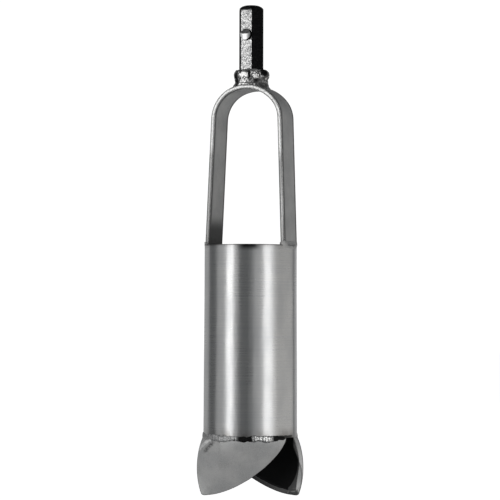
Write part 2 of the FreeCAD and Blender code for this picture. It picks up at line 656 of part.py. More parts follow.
def bead_back(u, w):
    a = math.radians(LEAD - TURN + (TRAIL - LEAD) * u)
    r = R2 + (R0 - R2) * SR / (Z1 - Z2) - 0.1
    tall = (outside(u, 0.1) - outside(u, 0)).Length * 10
    high = V(r * math.sin(a), -r * math.cos(a), TOPZ + SR)
    low = outside(u, SR / tall) + inward(u, 0) * 0.1
    return high + (low - high) * w


def bead_front(u, w):
    return bead_back(u, w) - inward(u, 0) * (0.25 + SB * math.sin(math.pi * w))


seam_bead = plate(bead_back, bead_front, [0.01 + 0.97 * i / 16.0 for i in range(17)],
                  [0, 0.25, 0.5, 0.75, 1])

for name, turn in (("front", 0), ("rear", 180)):
    # the bead, then the built-up leading corner
    f = doc.addObject("Part::Feature", "seam_bead_shape_" + name)
    f.Shape = seam_bead
    f.Placement = FreeCAD.Placement(V(0, 0, 0), FreeCAD.Rotation(V(0, 0, 1), TURN + turn))
    keep(f, "cutter_weld_" + name)
    a2 = f

    rbead = size("corner_bead_radius")
    ends = []
    for u, v in ((0.255, 0.045), (0.17, 0.10), (0.10, 0.165), (0.05, 0.235)):
        p = outside(u, v) + inward(u, v) * 0.25
        ends.append(FreeCAD.Rotation(V(0, 0, 1), TURN + turn).multVec(p))
    blob = Part.makeSphere(rbead, ends[0])
    for p, q in zip(ends, ends[1:]):
        d = q - p
        blob = blob.fuse(Part.makeCylinder(rbead, d.Length, p, d)).fuse(Part.makeSphere(rbead, q))
    blob = blob.removeSplitter()
    doc.recompute()
    blob = blob.cut(cutters[name].Shape).cut(barrel.Shape).cut(a2.Shape)
    blob = max(blob.Solids, key=lambda b: b.Volume)
    f = doc.addObject("Part::Feature", "corner_shape_" + name)
    f.Shape = blob
    f.Placement = FreeCAD.Placement()
    keep(f, "corner_weld_" + name)

    f = doc.addObject("Part::Feature", "facing_shape_" + name)
    f.Shape = facing
    f.Placement = FreeCAD.Placement(V(0, 0, 0), FreeCAD.Rotation(V(0, 0, 1), TURN + turn))
    keep(f, "hardfacing_" + name)

doc.recompute()

# ------------------------------------------------------------------- writing
problems = []
for obj in doc.Objects:
    if "Invalid" in obj.State or "Error" in obj.State:
        problems.append("%s is %s" % (obj.Label, obj.State))
for obj in parts:
    shape = obj.Shape
    if shape.isNull() or not shape.isValid():
        problems.append("%s has a bad shape" % obj.Label)
    elif len(shape.Solids) != 1:
        problems.append("%s has %d solids" % (obj.Label, len(shape.Solids)))
if problems:
    for p in problems:
        print(p)
    raise SystemExit("part not written")

os.makedirs("parts", exist_ok=True)
for obj in parts:
    obj.Shape.exportStep("parts/%s.step" % obj.Label)
    bb = obj.Shape.optimalBoundingBox(False)
    print("%-20s %9.1f mm3  x %.1f..%.1f y %.1f..%.1f z %.1f..%.1f" % (
        obj.Label, obj.Shape.Volume, bb.XMin, bb.XMax, bb.YMin, bb.YMax, bb.ZMin, bb.ZMax))
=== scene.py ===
import math

import bmesh
import bpy
from mathutils import Matrix, Quaternion, Vector, noise
from mathutils.bvhtree import BVHTree


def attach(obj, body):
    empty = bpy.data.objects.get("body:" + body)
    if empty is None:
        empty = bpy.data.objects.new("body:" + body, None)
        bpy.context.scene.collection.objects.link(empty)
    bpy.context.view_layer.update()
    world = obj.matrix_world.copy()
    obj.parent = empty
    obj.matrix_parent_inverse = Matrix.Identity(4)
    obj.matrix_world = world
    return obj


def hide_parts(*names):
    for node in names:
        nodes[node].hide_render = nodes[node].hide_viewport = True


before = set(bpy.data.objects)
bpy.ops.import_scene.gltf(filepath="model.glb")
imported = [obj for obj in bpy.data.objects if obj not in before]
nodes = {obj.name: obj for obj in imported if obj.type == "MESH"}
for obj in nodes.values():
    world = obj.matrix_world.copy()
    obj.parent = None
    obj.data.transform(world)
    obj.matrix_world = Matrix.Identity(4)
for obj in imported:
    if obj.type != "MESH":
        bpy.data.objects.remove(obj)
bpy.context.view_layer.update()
scene = bpy.context.scene
MM = 0.001

# ------------------------------------------------------------------ node kit


class Mat:
    """A node-based material, built up by name."""

    def __init__(self, name):
        self.m = bpy.data.materials.new(name)
        self.m.use_nodes = True
        self.t = self.m.node_tree
        self.t.nodes.clear()
        self.out = self.t.nodes.new("ShaderNodeOutputMaterial")
        self.p = self.t.nodes.new("ShaderNodeBsdfPrincipled")
        self.t.links.new(self.p.outputs[0], self.out.inputs[0])

    def n(self, kind, **props):
        node = self.t.nodes.new(kind)
        ins = props.pop("ins", {})
        for k, v in props.items():
            setattr(node, k, v)
        for k, v in ins.items():
            self.put(node.inputs[k], v)
        return node

    def put(self, sock, v):
        if isinstance(v, bpy.types.NodeSocket):
            self.t.links.new(v, sock)
        else:
            sock.default_value = v

    def coord(self):
        return self.n("ShaderNodeTexCoord").outputs["Object"]

    def math(self, op, a, b=0.0, c=0.0, clamp=False):
        node = self.n("ShaderNodeMath", operation=op, use_clamp=clamp)
        for i, v in enumerate((a, b, c)):
            if i < len(node.inputs):
                self.put(node.inputs[i], v)
        return node.outputs[0]

    def xyz(self, vec):
        s = self.n("ShaderNodeSeparateXYZ", ins={0: vec})
        return s.outputs[0], s.outputs[1], s.outputs[2]

    def vec(self, x, y, z):
        return self.n("ShaderNodeCombineXYZ", ins={0: x, 1: y, 2: z}).outputs[0]

    def mapping(self, vec, scale=(1, 1, 1), loc=(0, 0, 0), rot=(0, 0, 0)):
        return self.n("ShaderNodeMapping", ins={0: vec, 1: loc, 2: rot, 3: scale}).outputs[0]

    def noise(self, vec, scale, detail=4.0, rough=0.55, distort=0.0):
        return self.n("ShaderNodeTexNoise", ins={"Vector": vec, "Scale": scale, "Detail": detail,
                                                 "Roughness": rough, "Distortion": distort}).outputs[0]

    def voronoi(self, vec, scale, feature="F1", rand=1.0):
        node = self.n("ShaderNodeTexVoronoi", feature=feature)
        self.put(node.inputs["Vector"], vec)
        self.put(node.inputs["Scale"], scale)
        self.put(node.inputs["Randomness"], rand)
        return node.outputs[0]

    def ramp(self, fac, stops):
        node = self.n("ShaderNodeValToRGB", ins={0: fac})
        cr = node.color_ramp
        while len(cr.elements) > 1:
            cr.elements.remove(cr.elements[-1])
        for i, (pos, col) in enumerate(stops):
            if not isinstance(col, (tuple, list)):
                col = (col, col, col)
            e = cr.elements[0] if i == 0 else cr.elements.new(pos)
            e.position = pos
            e.color = (*col[:3], 1)
        return node.outputs[0]

    def fit(self, v, a, b, c, d, smooth=True):
        node = self.n("ShaderNodeMapRange", interpolation_type="SMOOTHSTEP" if smooth else "LINEAR")
        for i, x in enumerate((v, a, b, c, d)):
            self.put(node.inputs[i], x)
        return node.outputs[0]

    def mix(self, fac, a, b, blend="MIX"):
        node = self.n("ShaderNodeMix", data_type="RGBA", blend_type=blend)
        self.put(node.inputs[0], fac)
        for i, v in ((6, a), (7, b)):
            if isinstance(v, (tuple, list)):
                v = (*v[:3], 1)
            elif isinstance(v, (int, float)):
                v = (v, v, v, 1)
            self.put(node.inputs[i], v)
        return node.outputs[2]

    def blob(self, vec, at, r0, r1, squash=(1, 1, 1)):
        """1 near the point at, falling to 0 between r0 and r1."""
        d = self.n("ShaderNodeVectorMath", operation="SUBTRACT", ins={0: vec, 1: at}).outputs[0]
        d = self.n("ShaderNodeVectorMath", operation="MULTIPLY", ins={0: d, 1: squash}).outputs[0]
        length = self.n("ShaderNodeVectorMath", operation="LENGTH", ins={0: d}).outputs["Value"]
        return self.fit(length, r0, r1, 1, 0)

    def shake(self, vec, scale, amount):
        """vec moved about by a noise field, so that masks get ragged edges."""
        c = self.n("ShaderNodeTexNoise", ins={"Vector": vec, "Scale": scale, "Detail": 4.0, "Roughness": 0.6}).outputs[1]
        c = self.n("ShaderNodeVectorMath", operation="SUBTRACT", ins={0: c, 1: (0.5, 0.5, 0.5)}).outputs[0]
        c = self.n("ShaderNodeVectorMath", operation="SCALE", ins={0: c, "Scale": amount}).outputs[0]
        return self.n("ShaderNodeVectorMath", operation="ADD", ins={0: vec, 1: c}).outputs[0]

    def most(self, *vals):
        out = vals[0]
        for v in vals[1:]:
            out = self.math("MAXIMUM", out, v)
        return out

    def bump(self, height, strength, distance, normal=None):
        node = self.n("ShaderNodeBump", ins={"Height": height, "Strength": strength, "Distance": distance})
        if normal is not None:
            self.put(node.inputs["Normal"], normal)
        return node.outputs[0]

    def arris(self, radius, strength=1.0):
        """1 along sharp edges of the mesh, 0 away from them."""
        b = self.n("ShaderNodeBevel", samples=6, ins={"Radius": radius}).outputs[0]
        g = self.n("ShaderNodeNewGeometry").outputs["True Normal"]
        d = self.n("ShaderNodeVectorMath", operation="DOT_PRODUCT", ins={0: b, 1: g}).outputs["Value"]
        return self.fit(d, 0.9999, 0.988, 0, strength)

    def set(self, **kw):
        names = {"color": "Base Color", "rough": "Roughness", "metal": "Metallic", "normal": "Normal",
                 "aniso": "Anisotropic", "aniso_rot": "Anisotropic Rotation", "tangent": "Tangent",
                 "spec": "Specular IOR Level", "coat": "Coat Weight", "coat_rough": "Coat Roughness"}
        for k, v in kw.items():
            if isinstance(v, (tuple, list)) and k == "color":
                v = (*v[:3], 1)
            self.put(self.p.inputs[names[k]], v)
        return self.m


def stainless(name="stainless_brushed"):
    k = Mat(name)
    co = k.coord()
    x, y, z = k.xyz(co)
    turn = k.math("MULTIPLY", k.math("ARCTAN2", x, y), 0.036)
    around = k.vec(turn, 0.0, z)
    # brushing runs round the tube: fine along Z, long along the turn
    fine = k.noise(k.mapping(around, (22, 1, 2600)), 1.0, 5.0, 0.62)
    mid = k.noise(k.mapping(around, (9, 1, 700), (3, 0, 1)), 1.0, 4.0, 0.6)
    broad = k.noise(k.mapping(around, (60, 1, 30)), 1.0, 3.0, 0.5)
    scratch = k.noise(k.mapping(around, (14, 1, 1500), (7, 0, 5), (0, 0.012, 0)), 1.0, 2.0, 0.5)
    hair = k.fit(scratch, 0.66, 0.74, 0.0, 1.0)
    grain = k.math("ADD", k.math("MULTIPLY", fine, 0.6), k.math("MULTIPLY", mid, 0.4))
    col = k.mix(k.fit(grain, 0.35, 0.68, 0, 1), (0.60, 0.605, 0.61), (0.71, 0.705, 0.69))
    col = k.mix(k.math("MULTIPLY", k.fit(broad, 0.4, 0.7, 0, 1), 0.28), col, (0.50, 0.51, 0.53))
    col = k.mix(k.math("MULTIPLY", hair, 0.35), col, (0.42, 0.42, 0.42))
    # darker and straw-coloured where the welds heated it
    heat = k.math("MAXIMUM", k.fit(z, -0.3225, -0.3318, 0, 1), k.fit(z, -0.1895, -0.1862, 0, 0.5))
    heat = k.math("MULTIPLY", heat, k.fit(k.noise(k.mapping(around, (90, 1, 60)), 1.0), 0.35, 0.62, 0.15, 1))
    col = k.mix(k.math("MULTIPLY", heat, 0.72), col, (0.24, 0.225, 0.21))
    # painted shade: darker under the upper rim, most of all midway between the strap's legs
    rim_shades = []
    for f in (1.0, -1.0):
        ang = k.math("MULTIPLY", k.math("ARCTAN2", k.math("MULTIPLY", x, f), k.math("MULTIPLY", y, -f)), 180 / math.pi)
        rim_shades.append(k.fit(k.math("ABSOLUTE", k.math("SUBTRACT", ang, 23.0)), 17, 5, 0, 1))
    rim_shade = k.math("MULTIPLY", k.fit(z, -0.1915, -0.1868, 0, 0.97), k.most(*rim_shades))
    rim_shade = k.most(rim_shade, k.fit(z, -0.18685, -0.18640, 0, 0.6))
    col = k.mix(rim_shade, col, (0.035, 0.035, 0.036))
    # a darker band low on the tube, along the last part of each cutter's weld
    rag = k.math("ADD", z, k.math("MULTIPLY", k.math("SUBTRACT", k.noise(co, 500, 3.0), 0.5), 0.0016))
    low = k.fit(rag, -0.3301, -0.3308, 0, 1)
    arcs = []
    for f in (1.0, -1.0):
        ang = k.math("MULTIPLY", k.math("ARCTAN2", k.math("MULTIPLY", x, f), k.math("MULTIPLY", y, -f)), 180 / math.pi)
        arcs.append(k.math("MULTIPLY", k.fit(ang, 47, 53, 0, 1), k.fit(ang, 84, 92, 1, 0)))
    dark_patches = k.math("MULTIPLY", low, k.most(*arcs))
    col = k.mix(k.math("MULTIPLY", dark_patches, 0.93), col, (0.03, 0.03, 0.03))
    rough = k.math("ADD", k.fit(grain, 0.3, 0.7, 0.24, 0.33), k.math("MULTIPLY", k.fit(broad, 0.35, 0.7, 0, 1), 0.05))
    height = k.math("ADD", k.math("MULTIPLY", fine, 0.5), k.math("SUBTRACT", k.math("MULTIPLY", mid, 0.5), k.math("MULTIPLY", hair, 0.4)))
    tangent = k.n("ShaderNodeTangent", direction_type="RADIAL", axis="Z").outputs[0]
    wavy = k.noise(k.mapping(around, (75, 1, 16), (2, 0, 3)), 1.0, 2.0, 0.5)
    return k.set(color=col, rough=rough, metal=1.0, normal=k.bump(height, 0.16, 0.00005, k.bump(wavy, 1.0, 0.00022)),
                 aniso=0.55, aniso_rot=0.25, tangent=tangent)


# the cutters' free edge: across the plate, height (mm)
PLATE_EDGE = [(-37.6, -377.9), (-34.7, -377.9), (-30.0, -377.4), (-25.4, -376.5), (-20.7, -375.1), (-16.1, -373.3),
              (-11.5, -371.2), (-6.8, -368.7), (-0.7, -365.0), (8.5, -357.8), (13.0, -353.6), (17.9, -348.2),
              (21.4, -343.8), (24.4, -339.4), (26.6, -335.2)]


def blasted(name, base=0.2, shiny_edge=None, inside=False, seed=0.0, rim=None):
    """Matte blasted steel with a fine even grain."""
    k = Mat(name)
    co = k.mapping(k.coord(), (1, 1, 1), (seed, seed * 0.7, seed * 1.3))
    raw = k.coord()
    x, y, z = k.xyz(raw)
    grain = k.noise(co, 1900, 3.0, 0.65)
    pit = k.voronoi(co, 900)
    cloud = k.noise(co, 55, 5.0, 0.6)
    stain = k.noise(k.mapping(co, (1, 1, 0.5)), 140, 4.0, 0.55, 0.4)
    b = base
    col = k.mix(k.fit(cloud, 0.3, 0.7, 0, 1), (b * 0.86, b * 0.865, b * 0.87), (b * 1.12, b * 1.115, b * 1.10))
    col = k.mix(k.math("MULTIPLY", k.fit(stain, 0.52, 0.72, 0, 1), 0.4), col, (b * 0.72, b * 0.71, b * 0.69))
    col = k.mix(k.fit(grain, 0.42, 0.62, 0, 0.55), col, (b * 1.38, b * 1.38, b * 1.36))
    rough = k.math("ADD", k.fit(grain, 0.3, 0.7, 0.50, 0.62), k.math("MULTIPLY", cloud, 0.06))
    height = k.math("ADD", k.math("MULTIPLY", grain, 0.6), k.math("MULTIPLY", pit, 0.4))
    if inside:
        # burnt streak below each corner weld, measured along the surface in mm
        wob = k.math("MULTIPLY", k.math("SUBTRACT", k.noise(raw, 420, 4.0, 0.65), 0.5), 3.2)
        h = k.math("MULTIPLY_ADD", z, 1000.0, 339.8)
        streaks = []
        for f in (1.0, -1.0):
            ang = k.math("MULTIPLY", k.math("ARCTAN2", k.math("MULTIPLY", x, f), k.math("MULTIPLY", y, -f)), 180 / math.pi)
            along = k.math("MULTIPLY", k.math("ADD", ang, 36.0), 0.64)
            off = k.math("ADD", k.math("SUBTRACT", k.math("MULTIPLY", h, 0.863), k.math("MULTIPLY", along, 0.505)), wob)
            run = k.math("ADD", k.math("MULTIPLY", along, 0.863), k.math("MULTIPLY", h, 0.505))
            streaks.append(k.math("MULTIPLY", k.fit(k.math("ABSOLUTE", off), 0.2, 2.6, 1, 0), k.fit(k.math("ABSOLUTE", run), 5.0, 11.0, 1, 0)))
        burnt = k.math("MULTIPLY", k.most(*streaks), k.fit(k.noise(raw, 700, 3.0), 0.36, 0.56, 0.35, 1))
        col = k.mix(k.math("MULTIPLY", burnt, 0.85), col, (b * 0.22, b * 0.22, b * 0.22))
    if rim:
        line = k.arris(rim, 0.9)
        col = k.mix(line, col, (b * 0.12, b * 0.12, b * 0.12))
    if shiny_edge is not None:
        mask, shade = shiny_edge(k, x, y, z, co)
        mask = k.math("MULTIPLY", mask, k.math("SUBTRACT", 1.0, line))
        col = k.mix(shade, col, (b * 0.20, b * 0.20, b * 0.20))
        col = k.mix(mask, col, (0.86, 0.86, 0.85))
        rough = k.math("SUBTRACT", rough, k.math("MULTIPLY", mask, 0.22))
    if inside:
        # painted shade, near-black, inside, where the plate faces the axis
        g = k.n("ShaderNodeNewGeometry")
        nx, ny, nz = k.xyz(g.outputs["True Normal"])
        rad = k.math("SQRT", k.math("ADD", k.math("MULTIPLY", x, x), k.math("MULTIPLY", y, y)))
        dot = k.math("DIVIDE", k.math("ADD", k.math("MULTIPLY", nx, x), k.math("MULTIPLY", ny, y)), rad)
        faces_in = k.most(k.fit(dot, -0.2, -0.35, 0, 1), k.fit(nz, 0.25, 0.40, 0, 1))
        # across and behind the middle, as each plate lies; then its height over the free edge
        c25, s25 = math.cos(math.radians(25)), math.sin(math.radians(25))
        wide = k.math("ADD", k.math("MULTIPLY", x, c25), k.math("MULTIPLY", y, s25))
        back = k.math("SUBTRACT", k.math("MULTIPLY", y, c25), k.math("MULTIPLY", x, s25))
        t = k.math("MULTIPLY_ADD", k.math("MULTIPLY", wide, k.math("SIGN", back)), -1000 / 64.2, 37.6 / 64.2)
        free = k.ramp(t, [((a + 37.6) / 64.2, (b_ + 377.9) / 42.7) for a, b_ in PLATE_EDGE])
        high = k.math("MULTIPLY_ADD", free, -42.7, k.math("MULTIPLY_ADD", z, 1000.0, 377.9))
        high = k.math("ADD", high, k.math("MULTIPLY", k.math("SUBTRACT", k.noise(raw, 600, 3.0), 0.5), 1.4))
        band = k.math("MULTIPLY", k.fit(high, 2.9, 3.5, 1, 0), k.fit(t, 0.10, 0.14, 0, 1))
        lead = k.math("MULTIPLY", k.fit(nz, 0.0, -0.10, 0, 1), k.fit(t, 0.075, 0.045, 0, 1))
        dark = k.math("MULTIPLY", faces_in, k.math("SUBTRACT", 1.0, k.most(band, lead)))
        ground = k.math("MULTIPLY", faces_in, k.math("MULTIPLY", band, 0.94))
        col = k.mix(ground, col, (0.085, 0.085, 0.085))
        col = k.mix(k.math("MULTIPLY", k.math("MULTIPLY", faces_in, lead), 0.4), col, (0.34, 0.34, 0.34))
        # painted shade over the inside faces, except on the ground band and the leading band
        col = k.mix(k.math("MULTIPLY", dark, 0.985), col, (0.006, 0.006, 0.0065))
        rough = k.math("ADD", rough, k.math("MULTIPLY", dark, 0.2))
    return k.set(color=col, rough=rough, metal=0.75, normal=k.bump(height, 0.35, 0.00012))


def strap_edge_mask(k, x, y, z, co):
    """The sheared front and back edges of the strap are bare and rubbed bright, and where they stay bright is partly
    painted light;
    the broad faces beside them carry painted shade. Returns both masks."""
    ay = k.math("ABSOLUTE", y)
    edge = k.fit(ay, 0.01145, 0.01165, 0, 1)
    rub = k.noise(co, 1000, 4.0, 0.7)
    wide = k.noise(co, 170, 3.0, 0.5)
    low = k.fit(z, -0.182, -0.15, 0.35, 1.0)
    speck = k.fit(k.math("ADD", rub, k.math("MULTIPLY", k.math("SUBTRACT", wide, 0.5), 0.35)), 0.36, 0.5, 0.25, 1.0)
    # painted shade: the left leg's edge is duller; the right leg's is bright on its outer side only
    left = k.math("MULTIPLY", k.fit(x, -0.020, -0.026, 0, 1), k.fit(z, -0.104, -0.120, 0, 0.72))
    right = k.math("MULTIPLY", k.fit(x, 0.0318, 0.0310, 0, 1), k.math("MULTIPLY", k.fit(x, 0.020, 0.026, 0, 1), k.fit(z, -0.112, -0.124, 0, 0.85)))
    keep = k.math("SUBTRACT", 1.0, k.most(left, right))
    mask = k.math("MULTIPLY", k.math("MULTIPLY", edge, keep), k.math("MULTIPLY", speck, low))
    # painted shade: the broad faces darker in a strip beside each edge
    line = k.math("MULTIPLY", k.fit(ay, 0.0084, 0.0105, 0, 0.78), k.math("SUBTRACT", 1.0, edge))
    nx, ny, nz = k.xyz(k.n("ShaderNodeNewGeometry").outputs["True Normal"])
    # painted shade: the left leg's inner face darker towards the barrel
    inner_face_shade = k.math("MULTIPLY", k.fit(nx, 0.4, 0.7, 0, 1), k.math("MULTIPLY", k.fit(x, -0.020, -0.026, 0, 1), k.fit(z, -0.160, -0.174, 0, 0.93)))
    return mask, k.most(line, inner_face_shade)


def shank_metal(name="shank_steel_grainy"):
    """Granular bar in one finish. Painted reflection: the flat with the button is painted bright, coarse metal, and the
    other flats near-black.
    """
    k = Mat(name)
    co = k.coord()
    x, y, z = k.xyz(co)
    g1 = k.noise(co, 1250, 4.0, 0.7)
    g2 = k.voronoi(co, 760)
    cloud = k.noise(co, 120, 4.0, 0.6)
    flake = k.fit(g1, 0.43, 0.57, 0, 1)
    bright = k.mix(flake, (0.12, 0.12, 0.125), (0.80, 0.80, 0.79))
    bright = k.mix(k.math("MULTIPLY", k.fit(cloud, 0.42, 0.68, 0, 1), 0.35), bright, (0.30, 0.30, 0.305))
    black = k.mix(k.fit(g1, 0.45, 0.66, 0, 1), (0.006, 0.006, 0.0065), (0.024, 0.024, 0.025))
    nx, ny, nz = k.xyz(k.n("ShaderNodeNewGeometry").outputs["True Normal"])
    # painted reflection: bright on the button's flat, short of its top end and ragged at its side edges; near-black
    # elsewhere
    front = k.fit(ny, -0.97, -0.992, 0, 1)
    end = k.fit(z, -0.0052, -0.0034, 1, 0)
    edge = k.fit(k.math("ABSOLUTE", x), 0.0047, 0.0041, 0, 1)
    ragged = k.fit(k.math("ADD", edge, k.math("MULTIPLY", k.math("SUBTRACT", g1, 0.5), 1.1)), 0.35, 0.6, 0, 1)
    mask = k.math("MULTIPLY", k.math("MULTIPLY", front, end), ragged)
    col = k.mix(mask, black, bright)
    rough = k.math("ADD", k.math("MULTIPLY", mask, -0.12), k.fit(g1, 0.3, 0.7, 0.50, 0.36))
    height = k.math("ADD", k.math("MULTIPLY", g1, 0.65), k.math("MULTIPLY", g2, 0.35))
    return k.set(color=col, rough=rough, metal=1.0, normal=k.bump(height, 0.5, 0.00028))


def weld_metal(name, bright=0.5, dark=0.10, level=0.5, scale=1.0, seed=0.0, rough0=0.3):
    k = Mat(name)
    co = k.mapping(k.coord(), (1, 1, 1), (seed, -seed, seed * 0.5))
    dark_patches = k.noise(co, 150 * scale, 4.0, 0.6, 0.6)
    fine = k.noise(co, 1300 * scale, 4.0, 0.65)
    lumps = k.noise(co, 420 * scale, 3.0, 0.55)
    m = k.fit(dark_patches, level - 0.07, level + 0.07, 0, 1)
    col = k.mix(m, (dark, dark, dark * 1.02), (bright, bright * 0.995, bright * 0.98))
    col = k.mix(k.math("MULTIPLY", k.fit(fine, 0.45, 0.65, 0, 1), 0.35), col, (bright * 1.1, bright * 1.09, bright * 1.05))
    rough = k.math("ADD", k.math("MULTIPLY", fine, 0.18), k.fit(dark_patches, 0.35, 0.65, rough0 + 0.16, rough0 - 0.08))
    height = k.math("ADD", k.math("MULTIPLY", lumps, 0.7), k.math("MULTIPLY", fine, 0.3))
    return k.set(color=col, rough=rough, metal=1.0, normal=k.bump(height, 0.6, 0.0004))


def place(px_bearing, r, z):
    a = math.radians(px_bearing)
    return (r * math.sin(a), -r * math.cos(a), z)


def collar_metal():
    """Shiny cast-looking weld metal with soot between the passes."""
    k = Mat("collar_weld_metal")
    co = k.coord()
    fine = k.noise(co, 1300, 4.0, 0.65)
    lumps = k.noise(co, 430, 3.0, 0.55)
    dark_patches = k.noise(co, 240, 4.0, 0.6, 0.5)
    sh = k.shake(co, 330, 0.0032)
    R = 0.0133
    dark = k.most(
        k.blob(sh, place(17.5, R, -0.0545), 0.0006, 0.0022, (1.15, 1.15, 0.24)),
        k.blob(sh, place(76, R, -0.0522), 0.0028, 0.0042, (1, 1, 0.8)),
        k.blob(sh, place(45, R, -0.0590), 0.0012, 0.0026, (0.55, 0.55, 1.0)),
        k.blob(sh, place(-34, R, -0.0575), 0.0012, 0.0034, (0.9, 0.9, 0.33)),
        k.fit(k.xyz(sh)[2], -0.0506, -0.0498, 0, 1),
        k.fit(dark_patches, 0.53, 0.60, 0, 0.8))
    keep = k.most(
        k.blob(sh, place(-1.5, R, -0.0548), 0.0016, 0.0026, (1, 1, 0.42)),
        k.blob(sh, place(36, R, -0.0535), 0.0016, 0.0030, (0.8, 0.8, 0.62)))
    dark = k.math("MULTIPLY", dark, k.math("SUBTRACT", 1.0, keep), clamp=True)
    grey = k.blob(sh, place(66, R, -0.0608), 0.0030, 0.0050, (1, 1, 0.85))
    col = k.mix(dark, k.mix(k.fit(fine, 0.4, 0.66, 0, 1), (0.56, 0.555, 0.55), (0.85, 0.845, 0.835)), (0.02, 0.02, 0.021))
    col = k.mix(k.math("MULTIPLY", grey, 0.9), col, (0.17, 0.17, 0.17))
    rough = k.math("ADD", k.math("MULTIPLY", fine, 0.14), k.mix(dark, 0.17, 0.42))
    rough = k.math("ADD", rough, k.math("MULTIPLY", grey, 0.25))
    height = k.math("ADD", k.math("MULTIPLY", lumps, 0.7), k.math("MULTIPLY", fine, 0.3))
    return k.set(color=col, rough=rough, metal=1.0, normal=k.bump(height, 0.5, 0.00035))


def seam_metal(name, flip):
    """One bead, four moods: blasted, sooty, freshly ground, sooty again."""
    k = Mat(name)
    co = k.coord()
    sh = k.shake(co, 420, 0.003)
    x, y, z = k.xyz(sh)
    f = -1.0 if flip else 1.0
    ang = k.math("MULTIPLY", k.math("ARCTAN2", k.math("MULTIPLY", x, f), k.math("MULTIPLY", y, -f)), 180 / math.pi)
    fine = k.noise(co, 1500, 4.0, 0.65)
    lumps = k.noise(co, 560, 3.0, 0.55)
    dark_patches = k.noise(co, 420, 4.0, 0.6, 0.5)
    black = k.most(k.math("MULTIPLY", k.fit(ang, 6, 12, 0, 1), k.fit(ang, 26, 30, 1, 0)),
                   k.fit(ang, 50, 55, 0, 1), k.math("MULTIPLY", k.fit(dark_patches, 0.57, 0.63, 0, 0.85), k.fit(ang, -6, 6, 0.35, 1)))
    shine = k.math("MULTIPLY", k.fit(ang, 26, 30, 0, 1), k.fit(ang, 50, 54, 1, 0))
    col = k.mix(k.fit(fine, 0.38, 0.64, 0, 1), (0.36, 0.36, 0.36), (0.72, 0.72, 0.715))
    col = k.mix(shine, col, k.mix(k.fit(fine, 0.42, 0.58, 0, 1), (0.25, 0.25, 0.25), (0.95, 0.95, 0.94)))
    col = k.mix(k.math("MULTIPLY", black, k.fit(shine, 0.2, 0.8, 1, 0.35)), col, (0.014, 0.014, 0.014))
    rough = k.math("ADD", k.math("MULTIPLY", fine, 0.15), k.fit(shine, 0, 1, 0.42, 0.12))
    height = k.math("ADD", k.math("MULTIPLY", lumps, 0.7), k.math("MULTIPLY", fine, 0.3))
    return k.set(color=col, rough=rough, metal=0.95, normal=k.bump(height, 0.7, 0.0004))


def turned_steel(name, base=0.55, rough0=0.24, seed=0.0):
    k = Mat(name)
    co = k.coord()
    fine = k.noise(co, 1600, 4.0, 0.6)
    cloud = k.noise(co, 300, 3.0, 0.6)
    col = k.mix(k.fit(cloud, 0.35, 0.65, 0, 1), (base * 0.7, base * 0.7, base * 0.71), (base * 1.15, base * 1.14, base * 1.12))
    rough = k.math("ADD", k.math("MULTIPLY", fine, 0.14), k.fit(cloud, 0.3, 0.7, rough0, rough0 + 0.12))
    return k.set(color=col, rough=rough, metal=1.0, normal=k.bump(fine, 0.3, 0.0001))


def button_metal():
    """Ground face painted bright, duller ramp above it painted darker, as painted reflection; side wall painted
    near-black as painted shade.
    """
    k = Mat("button_steel")
    co = k.coord()
    fine = k.noise(co, 1600, 4.0, 0.6)
    cloud = k.noise(co, 400, 3.0, 0.6)
    nx, ny, nz = k.xyz(k.n("ShaderNodeNewGeometry").outputs["True Normal"])
    face = k.fit(ny, -0.955, -0.985, 0, 1)
    side = k.fit(ny, -0.60, -0.45, 0, 1)
    # painted reflection: bright face, dark grey ramp; painted shade: near-black side wall
    ramp = k.mix(k.fit(cloud, 0.35, 0.65, 0, 1), (0.20, 0.20, 0.205), (0.34, 0.34, 0.335))
    col = k.mix(face, ramp, k.mix(k.fit(fine, 0.35, 0.65, 0, 1), (0.80, 0.80, 0.80), (0.95, 0.95, 0.94)))
    col = k.mix(side, col, (0.003, 0.003, 0.0032))
    rough = k.math("ADD", k.math("MULTIPLY", fine, 0.12), k.fit(face, 0, 1, 0.36, 0.16))
    return k.set(color=col, rough=rough, metal=1.0, normal=k.bump(fine, 0.2, 0.00006))


M_BARREL = stainless()
M_STRAP = blasted("strap_blasted", 0.46, strap_edge_mask, seed=0.3, rim=0.0016)
M_CUTTER = blasted("cutter_blasted", 0.55, None, inside=True, seed=1.7, rim=0.0011)
M_SHANK = shank_metal()
M_COLLAR = collar_metal()
M_FOOT = blasted("foot_weld_blasted", 0.46, seed=2.9)
M_SEAMW = {"front": seam_metal("seam_weld_metal_front", False), "rear": seam_metal("seam_weld_metal_rear", True)}
M_CORNER = blasted("corner_weld_blasted", 0.75, seed=4.1)
M_FACING = weld_metal("hard_facing", 0.30, 0.17, 0.45, 1.6, 2.2, 0.4)
M_TUBE_SEAM = stainless("tube_seam_metal")
M_BUTTON = button_metal()
M_SPRING = turned_steel("spring_steel", 0.3, 0.3)


def dress(obj, mat):
    obj.data.materials.clear()
    obj.data.materials.append(mat)


dress(nodes["barrel_tube"], M_BARREL)
dress(nodes["barrel_seam"], M_TUBE_SEAM)
dress(nodes["bail_strap"], M_STRAP)
dress(nodes["hex_shank"], M_SHANK)
dress(nodes["lock_button"], M_BUTTON)
dress(nodes["button_spring"], M_SPRING)
dress(nodes["button_pin"], M_SPRING)
for n in ("cutter_front", "cutter_rear"):
    dress(nodes[n], M_CUTTER)
for n in ("hardfacing_front", "hardfacing_rear"):
    dress(nodes[n], M_FACING)

# ------------------------------------------------------------------ mesh kit


